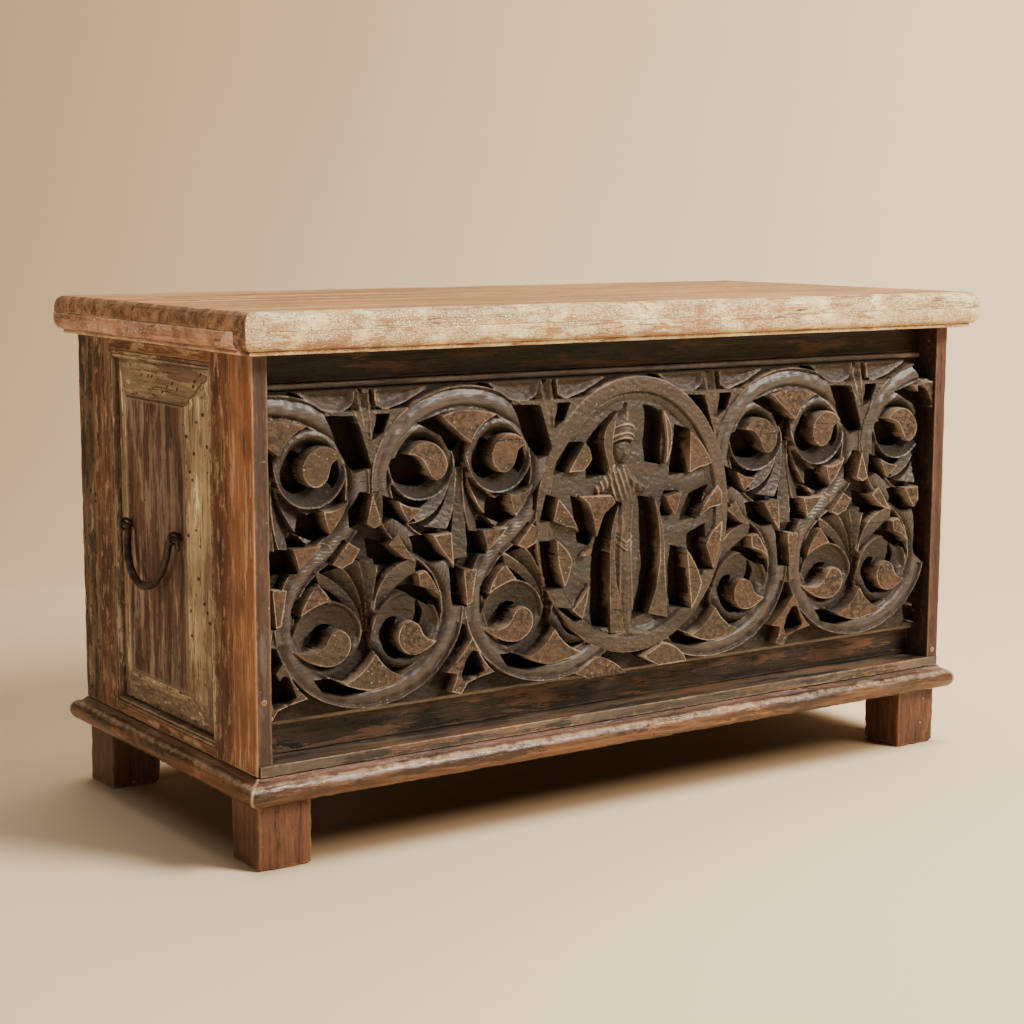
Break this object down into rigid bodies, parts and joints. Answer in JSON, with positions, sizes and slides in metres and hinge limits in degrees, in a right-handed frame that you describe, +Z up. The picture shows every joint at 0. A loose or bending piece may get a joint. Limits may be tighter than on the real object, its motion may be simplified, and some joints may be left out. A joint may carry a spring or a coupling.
{
  "type": "storage chest",
  "caption": "Long wooden chest on block feet with a carved front, fielded side panels with drop handles, and a thick lid hinged at the back.",
  "frame": {"origin": "on the floor under the middle of the lid", "axes": "+X along the chest to the right as seen from the front, +Y to the back, +Z up"},
  "size_m": [1.108, 0.525, 0.6224],
  "materials": {
    "lid_top": "worn, light tan, with a lengthwise grain",
    "lid_edge": "pale, crackled, with remains of red-brown paint",
    "lid_side": "worn brown, greyish at the edges",
    "front_posts": "satin red-brown",
    "pegs": "worn end grain",
    "back_posts": "dark and dimpled",
    "side_frames": "streaky worn brown",
    "side_panels": "worn purple-brown and cream paint",
    "mouldings": "worn yellow-grey paint",
    "front_rails": "dark satin with brown wear",
    "carving": "dark satin, brown on the worn tops",
    "plinth": "satin brown with worn light edges",
    "feet": "satin red-brown",
    "inner_boards": "plain unpainted",
    "wrought_iron": "dark forged",
    "hinge_iron": "dark rolled"
  },
  "bodies": {
    "carcass": {"post_front_left": "front_posts", "post_front_right": "front_posts", "post_peg_left": "pegs", "post_peg_right": "pegs", "post_back_left": "back_posts", "post_back_right": "back_posts", "side_stile_front_left": "side_frames", "side_stile_front_right": "side_frames", "side_stile_back_left": "side_frames", "side_stile_back_right": "side_frames", "side_top_rail_left": "side_frames", "side_top_rail_right": "side_frames", "side_bottom_rail_left": "side_frames", "side_bottom_rail_right": "side_frames", "side_panel_left": "side_panels", "side_panel_right": "side_panels", "side_moulding_left": "mouldings", "side_moulding_right": "mouldings", "front_top_rail": "front_rails", "front_top_bead": "front_rails", "front_bottom_bead": "front_rails", "front_bottom_rail": "front_rails", "front_sill": "front_rails", "carved_plank_upper": "carving", "carved_plank_lower": "carving", "plinth_front": "plinth", "plinth_back": "plinth", "plinth_left": "plinth", "plinth_right": "plinth", "foot_front_left": "feet", "foot_front_right": "feet", "foot_back_left": "feet", "foot_back_right": "feet", "back_top_rail": "inner_boards", "back_bottom_rail": "inner_boards", "back_board_1": "inner_boards", "back_board_2": "inner_boards", "floor_board_1": "inner_boards", "floor_board_2": "inner_boards", "floor_board_3": "inner_boards", "handle_eye_front_left": "wrought_iron", "handle_eye_front_right": "wrought_iron", "handle_eye_back_left": "wrought_iron", "handle_eye_back_right": "wrought_iron", "hinge_leaf_body_left": "hinge_iron", "hinge_leaf_body_right": "hinge_iron"},
    "lid": {"lid_board_1": "lid_top", "lid_board_2": "lid_top", "lid_board_3": "lid_top", "lid_board_4": "lid_top", "lid_board_5": "lid_top", "lid_front_lip": "lid_edge", "lid_frame_front": "lid_edge", "lid_frame_back": "lid_edge", "lid_frame_left": "lid_side", "lid_frame_right": "lid_side", "hinge_leaf_lid_left": "hinge_iron", "hinge_leaf_lid_right": "hinge_iron"},
    "handle_left": {"handle_bail_left": "wrought_iron"},
    "handle_right": {"handle_bail_right": "wrought_iron"}
  },
  "joints": [
    {"name": "lid_hinge", "type": "hinge", "parent": "carcass", "child": "lid", "pos_m": [0, 0.24905, 0.57525], "axis": [-1, 0, 0], "range_deg": [0, 100]},
    {"name": "handle_left_swing", "type": "hinge", "parent": "carcass", "child": "handle_left", "pos_m": [-0.5398, 0.01125, 0.355], "axis": [0, 1, 0], "range_deg": [0, 165]},
    {"name": "handle_right_swing", "type": "hinge", "parent": "carcass", "child": "handle_right", "pos_m": [0.5398, 0.01125, 0.355], "axis": [0, -1, 0], "range_deg": [0, 165]}
  ]
}
